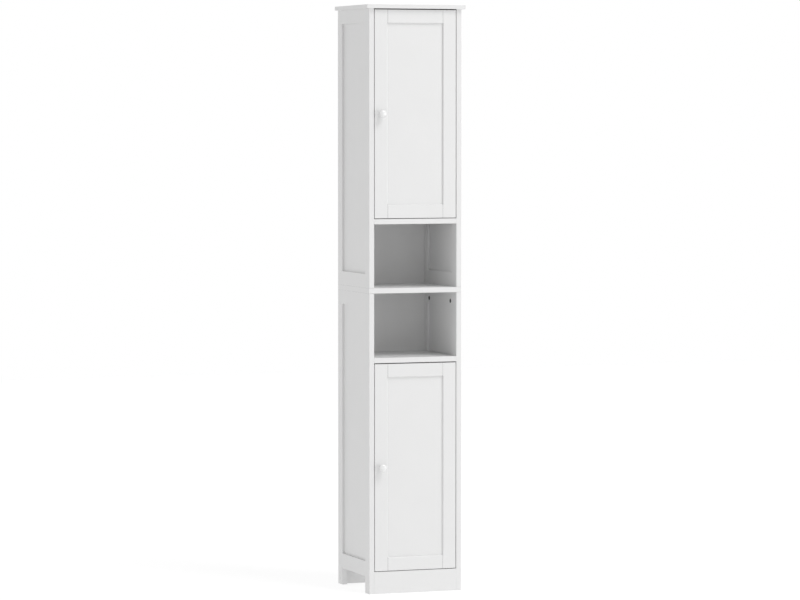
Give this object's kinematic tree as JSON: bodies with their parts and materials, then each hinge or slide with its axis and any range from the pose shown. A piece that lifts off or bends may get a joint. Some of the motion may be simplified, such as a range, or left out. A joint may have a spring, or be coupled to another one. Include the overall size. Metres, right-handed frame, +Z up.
{
  "type": "tall bathroom cabinet",
  "caption": "Tall narrow bathroom cabinet with framed sides, inset panelled doors with knobs above and below open niches, and a thin overhanging top.",
  "frame": {"origin": "middle of the base, on the floor", "axes": "+Z up, doors face -Y, +X to the right as seen from the front"},
  "size_m": [0.32, 0.314, 1.8],
  "materials": {
    "paint": "satin white paint on fibreboard",
    "door_paint": "satin white paint on fibreboard",
    "back": "matte white coating on hardboard",
    "knob": "gloss white",
    "hinge": "nickel plated, satin",
    "cam": "zinc casting, dull",
    "steel": "zinc plated steel",
    "dowel": "bare beech"
  },
  "bodies": {
    "carcass": {"adjustable_shelf_lower": "paint", "adjustable_shelf_upper": "paint", "back_panel_lower": "back", "back_panel_upper": "back", "bottom_board": "paint", "cam_bolts": "steel", "cam_locks": "cam", "hinge_arms": "hinge", "hinge_plates": "hinge", "left_lower_bottom_rail": "paint", "left_lower_front_stile": "paint", "left_lower_panel": "paint", "left_lower_rear_stile": "paint", "left_lower_top_rail": "paint", "left_upper_bottom_rail": "paint", "left_upper_front_stile": "paint", "left_upper_panel": "paint", "left_upper_rear_stile": "paint", "left_upper_top_rail": "paint", "lower_fixed_shelf": "paint", "middle_board": "paint", "plinth_back": "paint", "plinth_front": "paint", "right_lower_bottom_rail": "paint", "right_lower_front_stile": "paint", "right_lower_panel": "paint", "right_lower_rear_stile": "paint", "right_lower_top_rail": "paint", "right_upper_bottom_rail": "paint", "right_upper_front_stile": "paint", "right_upper_panel": "paint", "right_upper_rear_stile": "paint", "right_upper_top_rail": "paint", "seam_dowels": "dowel", "seam_screws": "steel", "shelf_dowels": "dowel", "shelf_pins": "steel", "top_board": "paint", "upper_fixed_shelf": "paint"},
    "upper_door": {"upper_door_bottom_rail": "door_paint", "upper_door_hinge_cups": "hinge", "upper_door_hinge_stile": "door_paint", "upper_door_knob": "knob", "upper_door_knob_screw": "steel", "upper_door_knob_stile": "door_paint", "upper_door_panel": "door_paint", "upper_door_top_rail": "door_paint"},
    "lower_door": {"lower_door_bottom_rail": "door_paint", "lower_door_hinge_cups": "hinge", "lower_door_hinge_stile": "door_paint", "lower_door_knob": "knob", "lower_door_knob_screw": "steel", "lower_door_knob_stile": "door_paint", "lower_door_panel": "door_paint", "lower_door_top_rail": "door_paint"}
  },
  "joints": [
    {"name": "upper_door_hinge", "type": "hinge", "parent": "carcass", "child": "upper_door", "pos_m": [0.1178, -0.1259, 1.468], "axis": [0, 0, 1], "range_deg": [0, 95]},
    {"name": "lower_door_hinge", "type": "hinge", "parent": "carcass", "child": "lower_door", "pos_m": [0.1178, -0.1259, 0.388], "axis": [0, 0, 1], "range_deg": [0, 95]}
  ]
}
